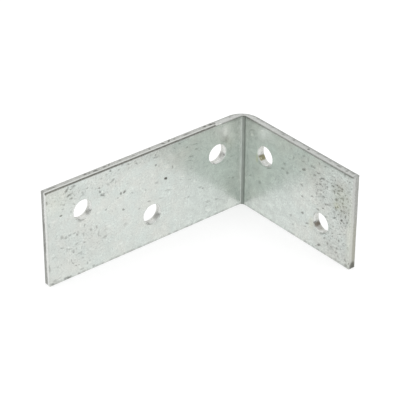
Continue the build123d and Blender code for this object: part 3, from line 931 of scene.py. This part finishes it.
def galvanised():
    """Zinc coated strip with cut steel edges, worked out from each point's place on the strip."""
    finish = Finish(bpy.data.materials.new("galvanised_strip"))
    place = finish.kept("strip")
    along, height, depth = finish.split(place)
    inner_skin = depth.over(0.25, 0.1)
    on_edge = depth.over(0.06, 0.16) * depth.over(SHEET + 0.02, SHEET - 0.04)
    mottle = finish.noise(place, 0.55, 3, 0.6)
    grain = finish.noise(place, 2.4, 3, 0.65)
    streak = finish.noise(finish.stretched(place, (1.3, 0.12, 1)), 1, 2, 0.6)

    # The marks and the crumbs of dirt, with ragged borders.
    ragged_grain = finish.noise(finish.moved(place, (0, 0, 9)), 2.2, 2, 0.6)
    border = ragged_grain * 1.6 - 0.8
    light = finish.mark("light_mark", border)
    dark = finish.mark("first_mark", border) + finish.mark("second_mark", border)
    dusty = finish.kept("dusty", output=2)
    crumbs = finish.noise(finish.moved(place, (0, 0, 5)), 2, 3, 0.6).over(0.53, 0.66)
    dark = dark * (ragged_grain * 0.8 + 0.8) + crumbs * dusty * 0.9

    # The colour, from the coating to what lies on it.
    plain = coating(finish, place, mottle, grain, streak)
    colour = finish.blend(inner_skin, plain, marked(finish, place, plain, light, dark, dusty))
    # Painted shade in the crease, which is also rougher.
    crease = crease_shade_mask(finish, place) * inner_skin
    colour = finish.blend(crease * 0.85, colour, CREASE_DARK)
    edge_colour, broken, ragged = cut_metal(finish, place, dark)
    colour = finish.blend(on_edge, colour, edge_colour)
    # Painted shade line along the rolled rim.
    colour = rim_shade_line(finish, place, colour, streak)
    colour = stained(finish, place, colour, ragged_grain)

    roughness = 0.23 + 0.06 * mottle + 0.25 * broken * on_edge + 0.25 * crease
    relief = grain * 0.5 + mottle * 0.6 - dark * 0.4 + ragged * broken * on_edge
    bump = {"Strength": 0.3, "Distance": 0.02 * MM, "Height": relief}
    inputs = {
        "Base Color": colour,
        "Roughness": roughness,
        # Less metallic along the painted highlight beside the crease.
        "Metallic": 1 - 0.3 * crease_highlight(along, height) * inner_skin,
        "Normal": finish.node("Bump", None, bump),
    }
    shader = finish.node("BsdfPrincipled", None, inputs)
    finish.node("OutputMaterial", None, {0: shader})
    return finish.owner


def pale_floor():
    """A plain pale surface. Seen directly or in the metal it is part paper and part glow, so that it
    is nearly white and still takes a soft shadow."""
    finish = Finish(bpy.data.materials.new("pale_floor"))
    paper = finish.node("BsdfDiffuse", None, {"Color": (0.93, 0.93, 0.93, 1)})
    glow = finish.node("Emission", None, {"Color": (1, 1, 1, 1), "Strength": 1.1})
    rays = finish.node("LightPath")
    outputs = rays.socket.node.outputs
    seen = sum((Wire(finish, outputs[name]) for name in ("Is Glossy Ray", "Is Transmission Ray")), rays)
    mixed = finish.node("MixShader", None, {0: seen * 0.6, 1: paper, 2: glow})
    finish.node("OutputMaterial", None, {0: mixed})
    return finish.owner


FLOOR_HALF = 3.0


def make_floor():
    """A square floor at the height of the bracket's lower edge."""
    level = LOW[2] * MM
    sides = ((-1, -1), (1, -1), (1, 1), (-1, 1))
    corners = [(FLOOR_HALF * x, FLOOR_HALF * y, level) for x, y in sides]
    mesh = bpy.data.meshes.new("floor")
    mesh.from_pydata(corners, [], [(0, 1, 2, 3)])
    mesh.materials.append(pale_floor())
    add_object("floor", mesh)


LAMP_TARGET = (0.02, 0.015, 0.01)


def softbox(name, place, size, radiance):
    """A square lamp aimed at the bracket, of a given brightness as seen from it."""
    lamp = bpy.data.lights.new(name, "AREA")
    lamp.shape = "SQUARE"
    lamp.size = size
    lamp.energy = radiance * np.pi * size * size
    ahead = Vector(LAMP_TARGET) - Vector(place)
    facing = ahead.to_track_quat("-Z", "Y").to_matrix().to_4x4()
    add_object(name, lamp).matrix_world = Matrix.Translation(place) @ facing


def make_world():
    """A studio with darker walls and a bright ceiling."""
    world = bpy.data.worlds.new("studio")
    studio = Finish(world)
    _, _, rise = studio.split(studio.node("TexCoord", output="Generated"))
    radiance = rise.over(0.14, 0.32) * 0.7 + 0.3
    light = studio.node("Background", None, {"Color": (1, 1, 1, 1), "Strength": radiance})
    studio.node("OutputWorld", None, {0: light})
    bpy.context.scene.world = world


# The camera as fitted to the photograph's edge lines: azimuth, elevation and roll in degrees, the
# bracket's corner in camera axes in millimetres, and the focal length in pixels of a 400 pixel frame.
CAMERA_AZIMUTH = 140.362
CAMERA_ELEVATION = 31.505
CAMERA_ROLL = 0.221
CORNER_IN_VIEW = (10.625, -0.574, 449.797)
FOCAL_PIXELS = 1812.11
FRAME_PIXELS = 400


def make_camera():
    """The photograph's viewpoint, from the fitted angles and the corner's place in the view."""
    azimuth, elevation, roll = np.radians([CAMERA_AZIMUTH, CAMERA_ELEVATION, CAMERA_ROLL])
    back = np.array([np.sin(azimuth), -np.cos(azimuth), 0]) * np.cos(elevation)
    back += (0, 0, np.sin(elevation))
    level_right = np.cross(-back, (0, 0, 1))
    level_right /= np.linalg.norm(level_right)
    level_up = np.cross(level_right, -back)
    right = np.cos(roll) * level_right + np.sin(roll) * level_up
    up = np.cos(roll) * level_up - np.sin(roll) * level_right
    rightwards, downwards, away = CORNER_IN_VIEW
    place = (-rightwards * right + downwards * up + away * back) * MM
    lens = bpy.data.cameras.new("camera")
    lens.lens = FOCAL_PIXELS * lens.sensor_width / FRAME_PIXELS
    lens.clip_start = 0.01
    camera = add_object("camera", lens)
    axes = Matrix([(*right, 0), (*up, 0), (*back, 0), (0, 0, 0, 1)]).transposed()
    camera.matrix_world = Matrix.Translation(place) @ axes
    bpy.context.scene.camera = camera


bracket = make_bracket()
bracket.data.materials.append(galvanised())
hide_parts("bracket")
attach(bracket, "root")

make_floor()
softbox("top_softbox", place=(0.05, 0.02, 1.1), size=1.0, radiance=1.1)
make_world()
make_camera()
bpy.context.scene.view_settings.view_transform = "Standard"
